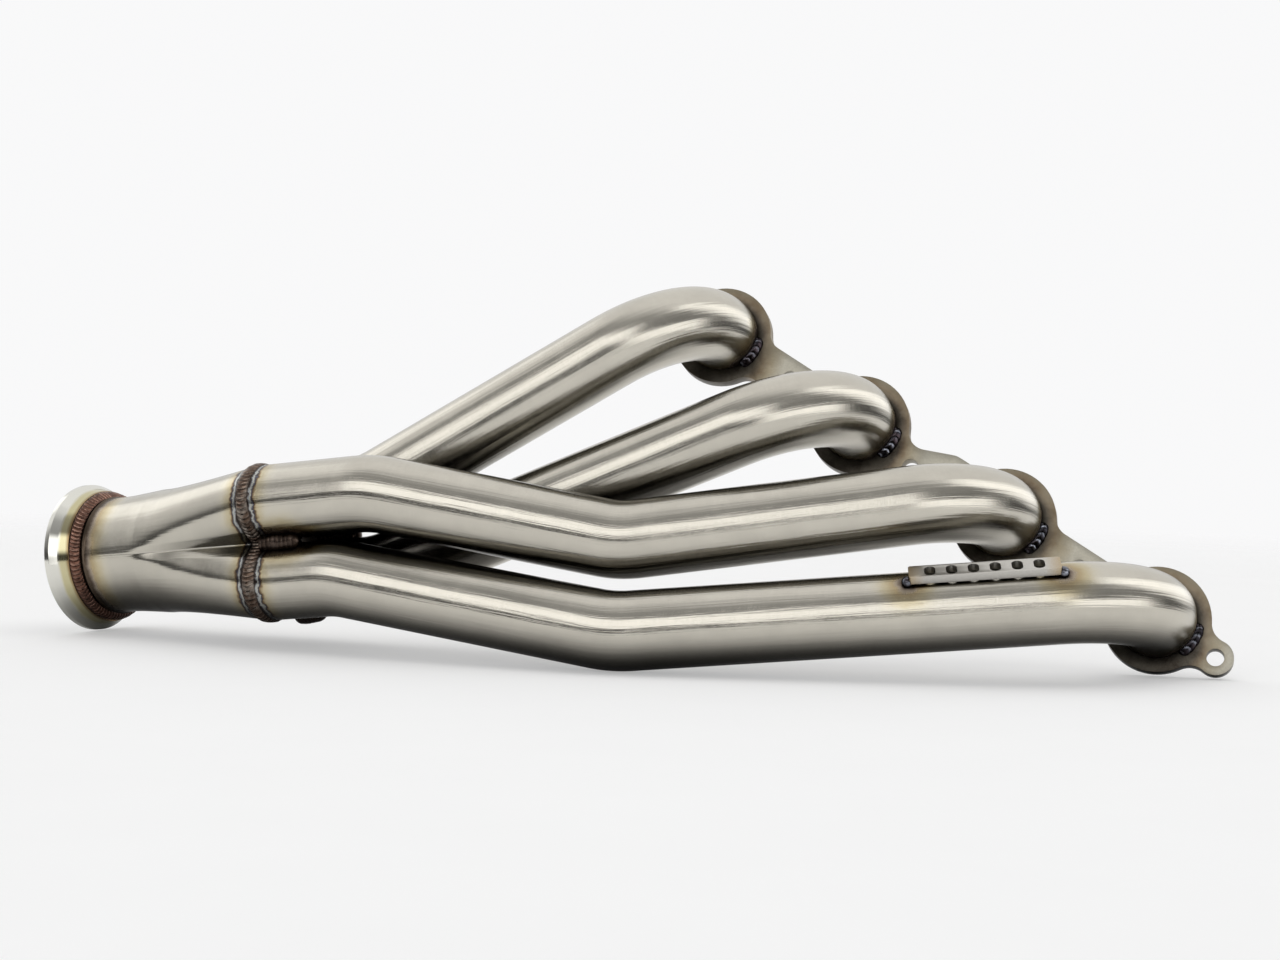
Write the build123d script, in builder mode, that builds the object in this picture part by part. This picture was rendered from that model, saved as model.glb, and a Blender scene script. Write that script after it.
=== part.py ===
from build123d import *
from math import asin, atan2, cos, degrees, hypot, radians, sin, sqrt
import os

# A four-into-one exhaust manifold, in millimetres, lying on the surface z = 0.
# +Z is up and the merged outlet points along -X, sloping down by collector_slope.
# The origin is the middle of the footprint.

# Primary tubes: 1 7/8 inch tube with a 16 gauge wall
tube_radius = 47.625 / 2
tube_wall = 1.65
bend_radius = 62.0
weld_gap = 0.05

# Head flange, seen from the tube side: x runs from port 1 to port 4, y is up
port_count = 4
port_spacing = 111.76
port_1_centre = (30.0, 92.0, 204.2)
port_line_drop = 30.5
face_lean = 19.3
flange_thickness = 9.5
lobe_radius = 32.5
web_width = 26.0
neck_radius = 12.0
ear_reach = 41.3
ear_radius = 10.8
bolt_hole_radius = 5.25
middle_bolt_offset = (12.05, 5.0)
middle_web_corners = [(-27.6, 2.6), (8.4, 17.5), (32.4, 17.5)]
middle_web_round = 13.0
shoulder_rise = 4.0
shoulder_reach = 15.0

# Collector: distances along its axis are from the outlet's mating face
outlet_centre = (-360.0, -63.0, 48.2)
collector_slope = 6.5
collector_length = 159.0
outlet_radius = 38.1
tube_offset = 25.2
valley_radius = 33.0
flare_start = 38.0
flare_end = 66.0
flare_radius = 40.6
facet_end_angle = 5.0

# Outlet V-band flange
vband_radius = 48.5
vband_length = 16.0
vband_rim_break = 0.5
vband_rim_width = 3.8
vband_taper_end = 8.4
vband_hub_radius = 45.2
vband_back_radius = 43.4
register_radius = 42.0
register_depth = 1.6

# Weld beads
tube_recess = 2.5
stitch_leg = 5.0
bead_bulge = 0.62
stitch_start = -24.0
stitch_sweep = 53.0
ring_crown = 0.45
inlet_bead_width = 10.0
inlet_bead_height = 2.0
vband_bead_width = 6.0
vband_bead_height = 5.0

# Crotch beads: distance from the collector's axis, radius and length.
# The bottom one is heavier and hangs lower.
crotch_beads = {
    "near": (34.5, 6.2, 27.0),
    "top": (34.5, 6.2, 27.0),
    "far": (34.5, 6.2, 27.0),
    "bottom": (44.5, 9.5, 19.0),
}

# Merge spike: a plug between the four tubes, drawn out to a point inside the collector
spike_radius = 14.0
spike_seat = 8.0
spike_root_radius = 11.0
spike_length = 36.0
spike_taper = 14.0

# Nameplate, welded on the straight run of primary tube 4
plate_length = 87.0
plate_width = 14.0
plate_thickness = 4.5
plate_run = 96.0
plate_tilt = 24.0
plate_shift = 2.5
slot_count = 6
slot_pitch = 12.5
slot_length = 10.5
slot_width = 6.4
plate_corner = 1.5
tack_radius = 3.4
tack_overhang = 1.2
tack_reach = 4.0

# Route of each primary tube: how far it rises from its port before the first bend,
# its free corner where it has one, and where it lines up with the collector
port_rise = {1: 69.0, 2: 81.0, 3: 59.0, 4: 63.0}
free_corner = {3: (27.0, -50.0, 75.5), 4: (35.0, -74.0, 23.2)}
collector_run = {1: 44.0, 2: 50.0, 3: 82.0, 4: 51.0}
seat = {1: (1, 1), 2: (1, -1), 3: (-1, 1), 4: (-1, -1)}

os.makedirs("parts", exist_ok=True)

port_line = Vector(cos(radians(port_line_drop)), 0, -sin(radians(port_line_drop)))
port_exit = Vector(
    sin(radians(face_lean)) * sin(radians(port_line_drop)),
    -cos(radians(face_lean)),
    sin(radians(face_lean)) * cos(radians(port_line_drop)),
)
head_face = Plane(origin=port_1_centre, x_dir=port_line, z_dir=port_exit)

collector_axis = Vector(cos(radians(collector_slope)), 0, sin(radians(collector_slope)))
outlet_face = Plane(origin=outlet_centre, x_dir=(0, 1, 0), z_dir=collector_axis)
inlet_face = outlet_face.offset(collector_length)

flange_length = (port_count - 1) * port_spacing
ports = [(index * port_spacing, 0) for index in range(port_count)]


def port_point(number, depth=0.0):
    """Centre of a port, at a height over the flange's tube side."""
    return head_face.from_local_coords(((number - 1) * port_spacing, 0, depth))


def seat_point(number, run=0.0):
    """Centre of a primary tube, at a distance upstream of the collector's inlet."""
    side, level = seat[number]
    return inlet_face.from_local_coords((side * tube_offset, level * tube_offset, run))


def tube_route(number):
    """Corners of a primary tube's centre line, from inside its port to the collector."""
    route = [port_point(number, tube_recess - flange_thickness)]
    route.append(port_point(number, port_rise[number]))
    if number in free_corner:
        route.append(Vector(*free_corner[number]))
    route.append(seat_point(number, collector_run[number]))
    route.append(seat_point(number))
    return route


# Head flange: a lobe round each port, webs between them and an ear at each end.
# The middle web is the same either way up, and has a bolt hole at each of its shoulders.
middle = flange_length / 2
bolt_x, bolt_y = middle_bolt_offset
middle_bolts = [(middle - bolt_x, -bolt_y), (middle + bolt_x, bolt_y)]
middle_web = [(middle + x, y) for x, y in middle_web_corners]
middle_web += [(middle - x, -y) for x, y in middle_web_corners]
straight_webs = [(port_spacing / 2, 0), (flange_length - port_spacing / 2, 0)]
ears = [(-ear_reach, 0), (flange_length + ear_reach, 0)]


def is_neck(corner):
    """True for a corner where a lobe meets a web or an ear."""
    return any(abs(hypot(corner.X - x, corner.Y) - lobe_radius) < weld_gap for x, y in ports)


def is_shoulder(corner):
    """True for a corner at the middle of the middle web."""
    is_high = abs(corner.Y) > web_width / 2 + shoulder_rise
    return is_high and abs(corner.X - middle) < shoulder_reach


with BuildPart() as head_flange:
    with BuildSketch(head_face):
        with Locations(*ports):
            Circle(lobe_radius)
        with Locations(*straight_webs):
            Rectangle(port_spacing, web_width)
        with Locations(*ears):
            Circle(ear_radius)
        with BuildLine():
            Polyline(*middle_web, close=True)
        make_face()
        fillet(vertices().filter_by(is_neck), neck_radius)
        fillet(vertices().filter_by(is_shoulder), middle_web_round)
        with Locations(*ports):
            Circle(tube_radius + weld_gap, mode=Mode.SUBTRACT)
        with Locations(*ears, *straight_webs, *middle_bolts):
            Circle(bolt_hole_radius, mode=Mode.SUBTRACT)
    extrude(amount=-flange_thickness)
head_flange.part.label = "head_flange"
export_step(head_flange.part, "parts/head_flange.step")


# Primary tubes: straight runs joined by bends of one radius
for number in range(1, port_count + 1):
    with BuildPart() as primary_tube:
        with BuildLine() as route:
            FilletPolyline(*tube_route(number), radius=bend_radius)
        with BuildSketch(Plane(origin=route.line @ 0, z_dir=route.line % 0)):
            Circle(tube_radius)
            Circle(tube_radius - tube_wall, mode=Mode.SUBTRACT)
        sweep()
    primary_tube.part.label = f"primary_tube_{number}"
    export_step(primary_tube.part, f"parts/primary_tube_{number}.step")


# Port welds: a stitch outside the flange, and a ring inside that seals the tube's end
def radial_plane(number, depth, angle):
    """Plane through a port's axis: x points away from the axis, y out of the flange."""
    outwards = port_line.rotate(Axis((0, 0, 0), port_exit), angle)
    return Plane(
        origin=port_point(number, depth),
        x_dir=outwards,
        z_dir=outwards.cross(port_exit),
    )


for number in range(1, port_count + 1):
    port_axis = Axis(port_point(number), port_exit)
    with BuildPart() as port_stitch_weld:
        with BuildSketch(radial_plane(number, 0, stitch_start)):
            with BuildLine():
                bead_foot = tube_radius + weld_gap
                Polyline(
                    (bead_foot, stitch_leg),
                    (bead_foot, weld_gap),
                    (bead_foot + stitch_leg, weld_gap),
                )
                ThreePointArc(
                    (bead_foot + stitch_leg, weld_gap),
                    (bead_foot + bead_bulge * stitch_leg, bead_bulge * stitch_leg),
                    (bead_foot, stitch_leg),
                )
            make_face()
        revolve(axis=port_axis, revolution_arc=stitch_sweep)
    port_stitch_weld.part.label = f"port_stitch_weld_{number}"
    export_step(port_stitch_weld.part, f"parts/port_stitch_weld_{number}.step")

    with BuildPart() as port_inner_weld:
        with BuildSketch(radial_plane(number, -flange_thickness, 0)):
            with BuildLine():
                Polyline(
                    (tube_radius - tube_wall, tube_recess - weld_gap),
                    (tube_radius, tube_recess - weld_gap),
                    (tube_radius, 0),
                )
                ThreePointArc(
                    (tube_radius, 0),
                    (tube_radius - ring_crown * tube_wall, ring_crown * tube_recess),
                    (tube_radius - tube_wall, tube_recess - weld_gap),
                )
            make_face()
        revolve(axis=port_axis)
    port_inner_weld.part.label = f"port_inner_weld_{number}"
    export_step(port_inner_weld.part, f"parts/port_inner_weld_{number}.step")


# Collector: a round outlet that flares a little, then parts into four lobes with facets
# between them
valley_span = hypot(valley_radius - tube_offset, tube_offset)
valley_lead = sqrt(valley_span**2 - tube_radius**2)
to_lobe = degrees(atan2(tube_offset, tube_offset - valley_radius))
facet_angle = to_lobe - degrees(asin(tube_radius / valley_span))
facet_foot = (
    valley_radius + valley_lead * cos(radians(facet_angle)),
    valley_lead * sin(radians(facet_angle)),
)
lobe_crest = tube_offset + tube_radius * sqrt(0.5)


def turned(point, quarter):
    """A sketch point turned by a number of quarter turns."""
    x, y = point
    for _ in range(quarter):
        x, y = -y, x
    return (x, y)


def lobed_outline():
    """Outline round the four tubes, with a valley between each two."""
    mirrored_foot = (facet_foot[1], facet_foot[0])
    for quarter in range(4):
        Line(turned((valley_radius, 0), quarter), turned(facet_foot, quarter))
        ThreePointArc(
            turned(facet_foot, quarter),
            turned((lobe_crest, lobe_crest), quarter),
            turned(mirrored_foot, quarter),
        )
        Line(turned(mirrored_foot, quarter), turned((0, valley_radius), quarter))


def round_outline(radius):
    """Circle cut into arcs that match the lobed outline's edges one to one."""
    for quarter in range(4):
        for start, end in (
            (0, facet_end_angle),
            (facet_end_angle, 90 - facet_end_angle),
            (90 - facet_end_angle, 90),
        ):
            CenterArc((0, 0), radius, 90 * quarter + start, end - start)


flare_face = outlet_face.offset(flare_start)
facet_face = outlet_face.offset(flare_end)

with BuildPart() as collector_body:
    with BuildSketch(outlet_face.offset(vband_length)):
        Circle(outlet_radius)
    extrude(amount=flare_start - vband_length)
    for section, radius in ((flare_face, outlet_radius), (facet_face, flare_radius)):
        with BuildSketch(section):
            with BuildLine():
                round_outline(radius)
            make_face()
    loft()
    with BuildSketch(facet_face):
        with BuildLine():
            round_outline(flare_radius)
        make_face()
    with BuildSketch(inlet_face):
        with BuildLine():
            lobed_outline()
        make_face()
    loft()
    with BuildSketch(outlet_face.offset(vband_length)):
        Circle(outlet_radius - tube_wall)
    extrude(amount=flare_start - vband_length, mode=Mode.SUBTRACT)
    for section, radius in ((flare_face, outlet_radius), (facet_face, flare_radius)):
        with BuildSketch(section):
            with BuildLine():
                round_outline(radius - tube_wall)
            make_face()
    loft(mode=Mode.SUBTRACT)
    with BuildSketch(facet_face):
        with BuildLine():
            round_outline(flare_radius - tube_wall)
        make_face()
    with BuildSketch(inlet_face):
        with BuildLine():
            lobed_outline()
        make_face()
        offset(amount=-tube_wall, kind=Kind.INTERSECTION)
    loft(mode=Mode.SUBTRACT)
collector_body.part.label = "collector_body"
export_step(collector_body.part, "parts/collector_body.step")


# Merge spike: closes the gap at the middle of the four tubes and parts their flows
seats = [(side * tube_offset, level * tube_offset) for side, level in seat.values()]

with BuildPart() as merge_spike:
    with BuildSketch(inlet_face):
        Circle(spike_radius)
        with Locations(*seats):
            Circle(tube_radius + weld_gap, mode=Mode.SUBTRACT)
    extrude(amount=spike_seat)
    with BuildSketch(inlet_face):
        Circle(spike_root_radius)
    extrude(amount=-spike_length, taper=spike_taper)
merge_spike.part.label = "merge_spike"
export_step(merge_spike.part, "parts/merge_spike.step")


# Collector welds: a bead round the inlet, and one up the crotch between each two tubes
with BuildPart() as collector_inlet_weld:
    with BuildSketch(inlet_face.offset(-inlet_bead_width / 2)):
        with BuildLine():
            lobed_outline()
        make_face()
        offset(amount=weld_gap, kind=Kind.INTERSECTION)
        offset(amount=inlet_bead_height)
        with BuildLine(mode=Mode.PRIVATE) as bead_foot_line:
            lobed_outline()
        make_face(bead_foot_line.edges(), mode=Mode.SUBTRACT)
    extrude(amount=inlet_bead_width)
collector_inlet_weld.part.label = "collector_inlet_weld"
export_step(collector_inlet_weld.part, "parts/collector_inlet_weld.step")

crotches = {"near": (-1, 0), "top": (0, 1), "far": (1, 0), "bottom": (0, -1)}
for place, (side, level) in crotches.items():
    bead_distance, bead_radius, bead_length = crotch_beads[place]
    bead_line = (side * bead_distance, level * bead_distance)
    bead_section = Plane(
        origin=inlet_face.from_local_coords((*bead_line, inlet_bead_width / 2 + weld_gap)),
        x_dir=inlet_face.x_dir * side + inlet_face.y_dir * level,
        z_dir=inlet_face.x_dir * -level + inlet_face.y_dir * side,
    )
    with BuildPart() as crotch_weld:
        with BuildSketch(bead_section):
            with BuildLine():
                Polyline(
                    (0, -bead_length),
                    (0, 0),
                    (bead_radius, 0),
                    (bead_radius, bead_radius - bead_length),
                )
                RadiusArc(
                    (bead_radius, bead_radius - bead_length),
                    (0, -bead_length),
                    bead_radius,
                )
            make_face()
        revolve(axis=Axis(bead_section.origin, collector_axis))
        with BuildSketch(inlet_face):
            with Locations(*seats):
                Circle(tube_radius + weld_gap)
        extrude(amount=2 * bead_length, mode=Mode.SUBTRACT)
    crotch_weld.part.label = f"crotch_weld_{place}"
    export_step(crotch_weld.part, f"parts/crotch_weld_{place}.step")


# V-band flange, turned about the collector's axis, and its weld
outlet_section = Plane(origin=outlet_centre, x_dir=outlet_face.y_dir, z_dir=(0, 1, 0))
outlet_axis = Axis(outlet_centre, collector_axis)

with BuildPart() as vband_flange:
    with BuildSketch(outlet_section):
        with BuildLine():
            Polyline(
                (outlet_radius - tube_wall, register_depth),
                (register_radius, register_depth),
                (register_radius, 0),
                (vband_radius - vband_rim_break, 0),
                (vband_radius, vband_rim_break),
                (vband_radius, vband_rim_width),
                (vband_hub_radius, vband_taper_end),
                (vband_back_radius, vband_length - weld_gap),
                (outlet_radius - tube_wall, vband_length - weld_gap),
                close=True,
            )
        make_face()
    revolve(axis=outlet_axis)
vband_flange.part.label = "vband_flange"
export_step(vband_flange.part, "parts/vband_flange.step")

with BuildPart() as vband_weld:
    with BuildSketch(outlet_section):
        with BuildLine():
            Polyline(
                (outlet_radius + weld_gap, vband_length + vband_bead_width),
                (outlet_radius + weld_gap, vband_length),
                (outlet_radius + vband_bead_height, vband_length),
            )
            ThreePointArc(
                (outlet_radius + vband_bead_height, vband_length),
                (
                    outlet_radius + bead_bulge * vband_bead_height,
                    vband_length + bead_bulge * vband_bead_width,
                ),
                (outlet_radius + weld_gap, vband_length + vband_bead_width),
            )
        make_face()
    revolve(axis=outlet_axis)
vband_weld.part.label = "vband_weld"
export_step(vband_weld.part, "parts/vband_weld.step")


# Nameplate: a slotted strip lying on primary tube 4, tacked down at both ends
run_start = port_point(4, port_rise[4])
run_end = Vector(*free_corner[4])
run_line = (run_end - run_start).normalized()
upwards = (Vector(0, 0, 1) - run_line * run_line.Z).normalized()
plate_normal = upwards.rotate(Axis((0, 0, 0), run_line), -plate_tilt)
plate_seat = Plane(
    origin=run_start + run_line * plate_run + plate_normal * (tube_radius + weld_gap),
    x_dir=run_line,
    z_dir=plate_normal,
)
plate_section = Plane(origin=run_start + run_line * plate_run, z_dir=run_line)

with BuildPart() as nameplate:
    with BuildSketch(plate_seat):
        with Locations((0, plate_shift)):
            RectangleRounded(plate_length, plate_width, plate_corner)
            with GridLocations(slot_pitch, 0, slot_count, 1):
                SlotOverall(slot_length, slot_width, rotation=90, mode=Mode.SUBTRACT)
    extrude(amount=plate_thickness)
nameplate.part.label = "nameplate"
export_step(nameplate.part, "parts/nameplate.step")

for place, end in (("port_end", -1), ("collector_end", 1)):
    tack_spot = (end * (plate_length / 2 + tack_overhang), plate_shift + tack_reach)
    with BuildPart() as nameplate_tack:
        with Locations(plate_seat):
            with Locations(tack_spot):
                Sphere(tack_radius)
        with BuildSketch(plate_section):
            Circle(tube_radius + weld_gap)
        extrude(amount=plate_length, both=True, mode=Mode.SUBTRACT)
        with BuildSketch(plate_seat):
            with Locations((0, plate_shift)):
                Rectangle(plate_length + 2 * weld_gap, plate_width + 2 * weld_gap)
        extrude(amount=plate_thickness, mode=Mode.SUBTRACT)
    nameplate_tack.part.label = f"nameplate_tack_{place}"
    export_step(nameplate_tack.part, f"parts/nameplate_tack_{place}.step")
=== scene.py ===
import math

import bmesh
import bpy
import numpy as np
from mathutils import Matrix, Vector


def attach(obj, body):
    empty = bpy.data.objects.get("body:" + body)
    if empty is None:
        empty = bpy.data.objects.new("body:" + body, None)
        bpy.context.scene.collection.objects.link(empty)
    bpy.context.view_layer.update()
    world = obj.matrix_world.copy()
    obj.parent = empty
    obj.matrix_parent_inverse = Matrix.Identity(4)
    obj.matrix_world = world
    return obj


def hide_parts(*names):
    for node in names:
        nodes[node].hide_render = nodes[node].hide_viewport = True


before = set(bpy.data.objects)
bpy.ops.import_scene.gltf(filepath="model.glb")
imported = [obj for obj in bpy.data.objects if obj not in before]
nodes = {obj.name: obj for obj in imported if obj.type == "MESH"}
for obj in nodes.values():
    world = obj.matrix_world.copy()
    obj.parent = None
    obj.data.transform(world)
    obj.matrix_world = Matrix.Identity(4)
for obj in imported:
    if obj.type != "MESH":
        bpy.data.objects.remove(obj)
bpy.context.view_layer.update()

MM = 0.001
FAR = 1e3
# Spacing of a tube's stations: by its ends, on a straight run, and in a bend
FINE_STEP, FINE_REACH, STEP, BEND_STEP = 1.2, 26.0, 4.0, math.radians(1.8)

# Dimensions of the manifold, in millimetres, as in the CAD part
TUBE_RADIUS = 47.625 / 2
TUBE_WALL = 1.65
BEND_RADIUS = 62.0
PORT_COUNT = 4
PORT_SPACING = 111.76
PORT_1 = np.array((30.0, 92.0, 204.2))
PORT_LINE_DROP = math.radians(30.5)
FACE_LEAN = math.radians(19.3)
FLANGE_THICKNESS = 9.5
TUBE_RECESS = 2.5
OUTLET = np.array((-360.0, -63.0, 48.2))
COLLECTOR_SLOPE = math.radians(6.5)
COLLECTOR_LENGTH = 159.0
OUTLET_RADIUS = 38.1
TUBE_OFFSET = 25.2
VALLEY_RADIUS = 33.0
FLARE_START = 38.0
FLARE_END = 66.0
FLARE_RADIUS = 40.6
FACET_END_ANGLE = math.radians(5.0)
VBAND_LENGTH = 16.0
PORT_RISE = {1: 69.0, 2: 81.0, 3: 59.0, 4: 63.0}
FREE_CORNER = {3: (27.0, -50.0, 75.5), 4: (35.0, -74.0, 23.2)}
COLLECTOR_RUN = {1: 44.0, 2: 50.0, 3: 82.0, 4: 51.0}
SEAT = {1: (1, 1), 2: (1, -1), 3: (-1, 1), 4: (-1, -1)}

PORT_LINE = np.array((math.cos(PORT_LINE_DROP), 0.0, -math.sin(PORT_LINE_DROP)))
PORT_EXIT = np.array((
    math.sin(FACE_LEAN) * math.sin(PORT_LINE_DROP),
    -math.cos(FACE_LEAN),
    math.sin(FACE_LEAN) * math.cos(PORT_LINE_DROP),
))
PORT_UP = np.cross(PORT_EXIT, PORT_LINE)
AXIS = np.array((math.cos(COLLECTOR_SLOPE), 0.0, math.sin(COLLECTOR_SLOPE)))
AXIS_SIDE = np.array((0.0, 1.0, 0.0))
AXIS_UP = np.cross(AXIS, AXIS_SIDE)


def unit(v):
    v = np.asarray(v, float)
    return v / np.linalg.norm(v)


def port_point(number, depth=0.0):
    """Centre of a port, at a height over the flange's tube side."""
    return PORT_1 + PORT_LINE * PORT_SPACING * (number - 1) + PORT_EXIT * depth


def collector_point(across, up, along):
    """A point in the collector's own frame: along its axis from the outlet's mating face."""
    return OUTLET + AXIS_SIDE * across + AXIS_UP * up + AXIS * along


def seat_point(number, run=0.0):
    side, level = SEAT[number]
    return collector_point(side * TUBE_OFFSET, level * TUBE_OFFSET, COLLECTOR_LENGTH + run)


def tube_route(number):
    route = [port_point(number, TUBE_RECESS - FLANGE_THICKNESS)]
    route.append(port_point(number, PORT_RISE[number]))
    if number in FREE_CORNER:
        route.append(np.array(FREE_CORNER[number]))
    route.append(seat_point(number, COLLECTOR_RUN[number]))
    route.append(seat_point(number))
    return route


# ---------------------------------------------------------------- welds as lines
STITCH_START = math.radians(-24.0)
STITCH_SWEEP = math.radians(53.0)
STITCH_LEG = 5.0
STITCH_MIDDLE_RADIUS = TUBE_RADIUS + 2.0
STITCH_MIDDLE_HEIGHT = 1.5
INLET_BEAD_WIDTH = 10.0
OUTLET_BEAD_MIDDLE = VBAND_LENGTH + 4.0
# side, level, distance from the collector's axis, radius and length
CROTCHES = {
    "near": (-1, 0, 34.5, 6.2, 27.0),
    "top": (0, 1, 34.5, 6.2, 27.0),
    "far": (1, 0, 34.5, 6.2, 27.0),
    "bottom": (0, -1, 44.5, 9.5, 19.0),
}

PLATE_LENGTH = 87.0
PLATE_RUN = 96.0
PLATE_TILT = math.radians(24.0)
PLATE_SHIFT = 2.5
TACK_REACH = 4.0
TACK_RADIUS = 3.4
TACK_GAP = 1.2

run_start = port_point(4, PORT_RISE[4])
PLATE_LINE = unit(np.array(FREE_CORNER[4]) - run_start)
upwards = unit(np.array((0, 0, 1)) - PLATE_LINE * PLATE_LINE[2])
sideways = np.cross(PLATE_LINE, upwards)
PLATE_NORMAL = upwards * math.cos(PLATE_TILT) - sideways * math.sin(PLATE_TILT)
PLATE_SIDE = np.cross(PLATE_NORMAL, PLATE_LINE)
PLATE_CENTRE = run_start + PLATE_LINE * PLATE_RUN + PLATE_NORMAL * (TUBE_RADIUS + 0.05)


def plate_point(x, y):
    return PLATE_CENTRE + PLATE_LINE * x + PLATE_SIDE * y


def port_outward(angle):
    """Direction in a port's plane, from the line of ports round towards its upper side."""
    return PORT_LINE * math.cos(angle) + PORT_UP * math.sin(angle)


def stitch_arc(number, angle):
    """A point in the middle of a port's stitch weld."""
    return port_point(number, STITCH_MIDDLE_HEIGHT) + port_outward(angle) * STITCH_MIDDLE_RADIUS


TACKS = {
    "port_end": plate_point(-(PLATE_LENGTH / 2 + TACK_GAP), PLATE_SHIFT + TACK_REACH),
    "collector_end": plate_point(PLATE_LENGTH / 2 + TACK_GAP, PLATE_SHIFT + TACK_REACH),
}


def segment_distance(points, a, b):
    line = b - a
    t = np.clip((points - a) @ line / (line @ line), 0, 1)
    return np.linalg.norm(points - a - t[:, None] * line, axis=1)


def inlet_distance(points):
    """Distance in mm from each point to the edge of the weld round the collector's inlet."""
    return np.abs((points - OUTLET) @ AXIS - COLLECTOR_LENGTH) - INLET_BEAD_WIDTH / 2


def weld_distance(points):
    """Distance in mm from each point to the nearest weld's edge, for the heat tint."""
    rel = points - OUTLET
    along = rel @ AXIS
    found = [inlet_distance(points) + 3.0]
    found.append(np.abs(along - OUTLET_BEAD_MIDDLE) - 5.5)
    for side, level, offset, radius, length in CROTCHES.values():
        at = (side * offset, level * offset)
        a = collector_point(*at, COLLECTOR_LENGTH + INLET_BEAD_WIDTH / 2)
        b = collector_point(*at, COLLECTOR_LENGTH + INLET_BEAD_WIDTH / 2 + length - radius)
        found.append(segment_distance(points, a, b) - radius)
    for number in range(1, PORT_COUNT + 1):
        arc = [stitch_arc(number, STITCH_START + STITCH_SWEEP * k / 8) for k in range(9)]
        for a, b in zip(arc, arc[1:]):
            found.append(segment_distance(points, a, b) - 3.4)
        depth = (points - port_point(number)) @ PORT_EXIT
        near = np.linalg.norm(points - port_point(number), axis=1) < 60
        found.append(np.where(near, np.abs(depth) + 2.6, FAR))
    for spot in TACKS.values():
        found.append(np.linalg.norm(points - spot, axis=1) - TACK_RADIUS)
    return np.min(found, axis=0)


# ---------------------------------------------------------------- mesh helpers
def new_piece(name, verts, faces, node_names, material, attributes, tangent_uv=None):
    """A mesh piece from points in mm, riding on the one body and standing for CAD nodes."""
    mesh = bpy.data.meshes.new(name)
    mesh.from_pydata([tuple(v) for v in np.asarray(verts, float) * MM], [], faces)
    for key, values in attributes.items():
        values = np.asarray(values, np.float32)
        kind = "FLOAT_VECTOR" if values.ndim == 2 else "FLOAT"
        attribute = mesh.attributes.new(key, kind, "POINT")
        attribute.data.foreach_set("vector" if values.ndim == 2 else "value", values.ravel())
    if tangent_uv is not None:
        layer = mesh.uv_layers.new(name="brush")
        loops = np.zeros(len(mesh.loops), np.int32)
        mesh.loops.foreach_get("vertex_index", loops)
        layer.data.foreach_set("uv", np.asarray(tangent_uv, np.float32)[loops].ravel())
    mesh.validate()
    obj = bpy.data.objects.new(name, mesh)
    bpy.context.scene.collection.objects.link(obj)
    mesh.materials.append(material)
    mesh.polygons.foreach_set("use_smooth", [True] * len(mesh.polygons))
    fix = bmesh.new()
    fix.from_mesh(mesh)
    bmesh.ops.recalc_face_normals(fix, faces=fix.faces)
    fix.to_mesh(mesh)
    fix.free()
    mesh.set_sharp_from_angle(angle=math.radians(40))
    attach(obj, "root")
    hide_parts(*node_names)


def grid_faces(rows, columns, close_rows=False, close_columns=True, start=0):
    """Quads over a grid of points stored row by row."""
    faces = []
    for r in range(rows if close_rows else rows - 1):
        below = start + ((r + 1) % rows) * columns
        here = start + r * columns
        for c in range(columns if close_columns else columns - 1):
            n = (c + 1) % columns
            faces.append((here + c, here + n, below + n, below + c))
    return faces


def end_caps(rows, columns):
    """One face over the first row and one over the last."""
    return [tuple(row * columns + c for c in range(columns)) for row in (0, rows - 1)]


def shell_faces(count, sides):
    """Outer skin, then inner skin, joined by a rim at both ends."""
    faces = grid_faces(count, sides) + grid_faces(count, sides, start=count * sides)
    for end in (0, count - 1):
        a, b = end * sides, (count + end) * sides
        faces += [(a + c, a + (c + 1) % sides, b + (c + 1) % sides, b + c) for c in range(sides)]
    return faces


def travel(points):
    """Distance covered along a line of points, at each of them."""
    return np.concatenate([[0], np.cumsum(np.linalg.norm(np.diff(points, axis=0), axis=1))])


def centre_line(corners, bend):
    """Stations along a route whose corners are rounded: points and directions."""
    points, directions = [], []

    def straight(a, b, fine_start, fine_end):
        length = np.linalg.norm(b - a)
        marks = [0.0]
        while marks[-1] < length - 0.5:
            gap = min(marks[-1] if fine_start else FAR, (length - marks[-1]) if fine_end else FAR)
            marks.append(marks[-1] + (FINE_STEP if gap < FINE_REACH else STEP))
        marks = np.array(marks[:-1] + [length]) if len(marks) > 1 else np.array([0.0, length])
        for mark in marks:
            points.append(a + unit(b - a) * mark)
            directions.append(unit(b - a))

    at = corners[0]
    for index in range(1, len(corners) - 1):
        before = unit(corners[index] - corners[index - 1])
        after = unit(corners[index + 1] - corners[index])
        turn = math.acos(np.clip(before @ after, -1, 1))
        lead = bend * math.tan(turn / 2)
        enter = corners[index] - before * lead
        straight(at, enter, index == 1, False)
        side = unit(after - before * (before @ after))
        hub = enter + side * bend
        steps = max(4, int(turn / BEND_STEP))
        for step in range(1, steps):
            angle = turn * step / steps
            points.append(hub - side * bend * math.cos(angle) + before * bend * math.sin(angle))
            directions.append(before * math.cos(angle) + side * math.sin(angle))
        at = corners[index] + after * lead
    straight(at, corners[-1], False, True)
    return np.array(points), np.array(directions)


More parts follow.
